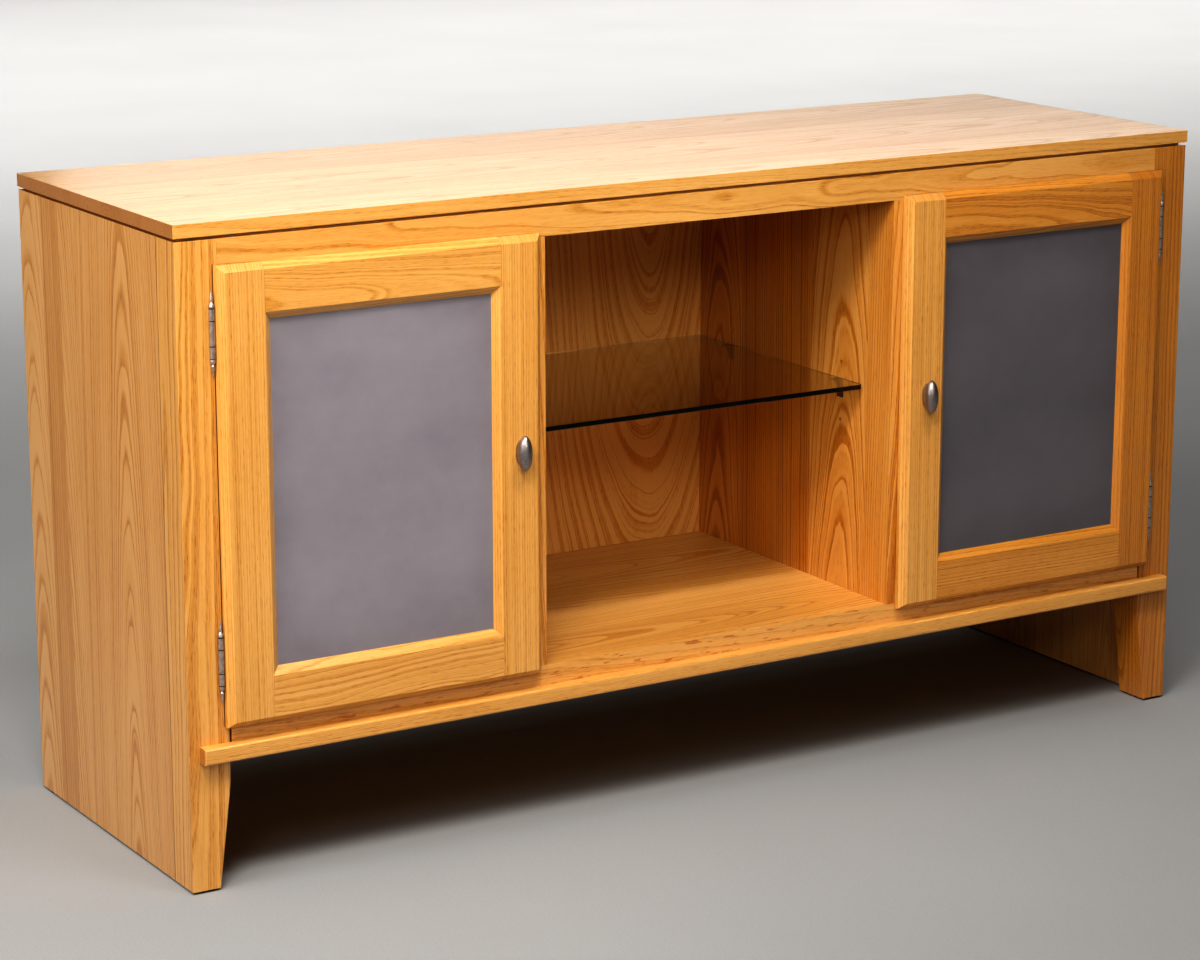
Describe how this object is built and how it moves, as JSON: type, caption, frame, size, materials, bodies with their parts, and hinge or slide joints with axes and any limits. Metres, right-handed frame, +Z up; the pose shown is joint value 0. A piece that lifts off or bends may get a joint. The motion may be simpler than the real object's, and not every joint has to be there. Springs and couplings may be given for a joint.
{
  "type": "television console cabinet",
  "caption": "Low honey-coloured wooden media console with framed frosted-glass cupboard doors either side of an open bay with a glass shelf, on tapered feet.",
  "frame": {"origin": "on the floor under the middle of the overall box, doors shut", "axes": "+X along the width to the right as seen from the front, +Y from the doors to the back, +Z up"},
  "size_m": [1.527, 0.508, 0.818],
  "materials": {
    "honey_wood": "satin clear lacquer over honey-coloured hardwood",
    "side_wood": "satin clear lacquer over edge-glued planks",
    "inner_wood": "satin lacquer",
    "back_veneer": "satin lacquer over cathedral-grain veneer",
    "hidden_wood": "bare sanded wood",
    "frosted_glass": "acid-etched, satin",
    "shelf_glass": "clear float glass with ground edges",
    "aged_nickel": "antique brushed nickel",
    "zinc_steel": "bright zinc plate",
    "pole_steel": "bare steel",
    "brown_plastic": "moulded, matt",
    "bumper_rubber": "clear soft dots",
    "glide_plastic": "moulded, matt"
  },
  "bodies": {
    "carcass": {"top_panel": "honey_wood", "left_side_panel": "side_wood", "right_side_panel": "side_wood", "left_front_post": "honey_wood", "right_front_post": "honey_wood", "top_rail": "honey_wood", "back_top_rail": "hidden_wood", "deck_panel": "inner_wood", "deck_rail": "honey_wood", "back_deck_rail": "hidden_wood", "ledge_moulding": "honey_wood", "left_partition": "inner_wood", "right_partition": "inner_wood", "back_panel": "back_veneer", "left_top_cleat": "hidden_wood", "right_top_cleat": "hidden_wood", "left_deck_cleat": "hidden_wood", "right_deck_cleat": "hidden_wood", "cleat_screws": "zinc_steel", "back_panel_screws": "zinc_steel", "floor_glides": "glide_plastic", "glass_shelf": "shelf_glass", "left_cupboard_shelf": "inner_wood", "right_cupboard_shelf": "inner_wood", "shelf_supports": "brown_plastic", "left_catch_housing": "brown_plastic", "right_catch_housing": "brown_plastic", "catch_magnets": "pole_steel", "left_upper_frame_leaf": "aged_nickel", "left_lower_frame_leaf": "aged_nickel", "right_upper_frame_leaf": "aged_nickel", "right_lower_frame_leaf": "aged_nickel", "hinge_pins": "aged_nickel", "carcass_hardware_screws": "zinc_steel"},
    "left_door": {"left_door_hinge_stile": "honey_wood", "left_door_knob_stile": "honey_wood", "left_door_top_rail": "honey_wood", "left_door_bottom_rail": "honey_wood", "left_door_glass": "frosted_glass", "left_door_glass_beads": "hidden_wood", "left_knob": "aged_nickel", "left_knob_screw": "zinc_steel", "left_upper_door_leaf": "aged_nickel", "left_lower_door_leaf": "aged_nickel", "left_door_screws": "zinc_steel", "left_strike_plate": "zinc_steel", "left_bumpers": "bumper_rubber"},
    "right_door": {"right_door_hinge_stile": "honey_wood", "right_door_knob_stile": "honey_wood", "right_door_top_rail": "honey_wood", "right_door_bottom_rail": "honey_wood", "right_door_glass": "frosted_glass", "right_door_glass_beads": "hidden_wood", "right_knob": "aged_nickel", "right_knob_screw": "zinc_steel", "right_upper_door_leaf": "aged_nickel", "right_lower_door_leaf": "aged_nickel", "right_door_screws": "zinc_steel", "right_strike_plate": "zinc_steel", "right_bumpers": "bumper_rubber"}
  },
  "joints": [
    {"name": "left_door_hinge", "type": "hinge", "parent": "carcass", "child": "left_door", "pos_m": [-0.7186, -0.2207, 0.488], "axis": [0, 0, -1], "range_deg": [0, 150]},
    {"name": "right_door_hinge", "type": "hinge", "parent": "carcass", "child": "right_door", "pos_m": [0.7186, -0.2207, 0.488], "axis": [0, 0, 1], "range_deg": [0, 150]}
  ]
}
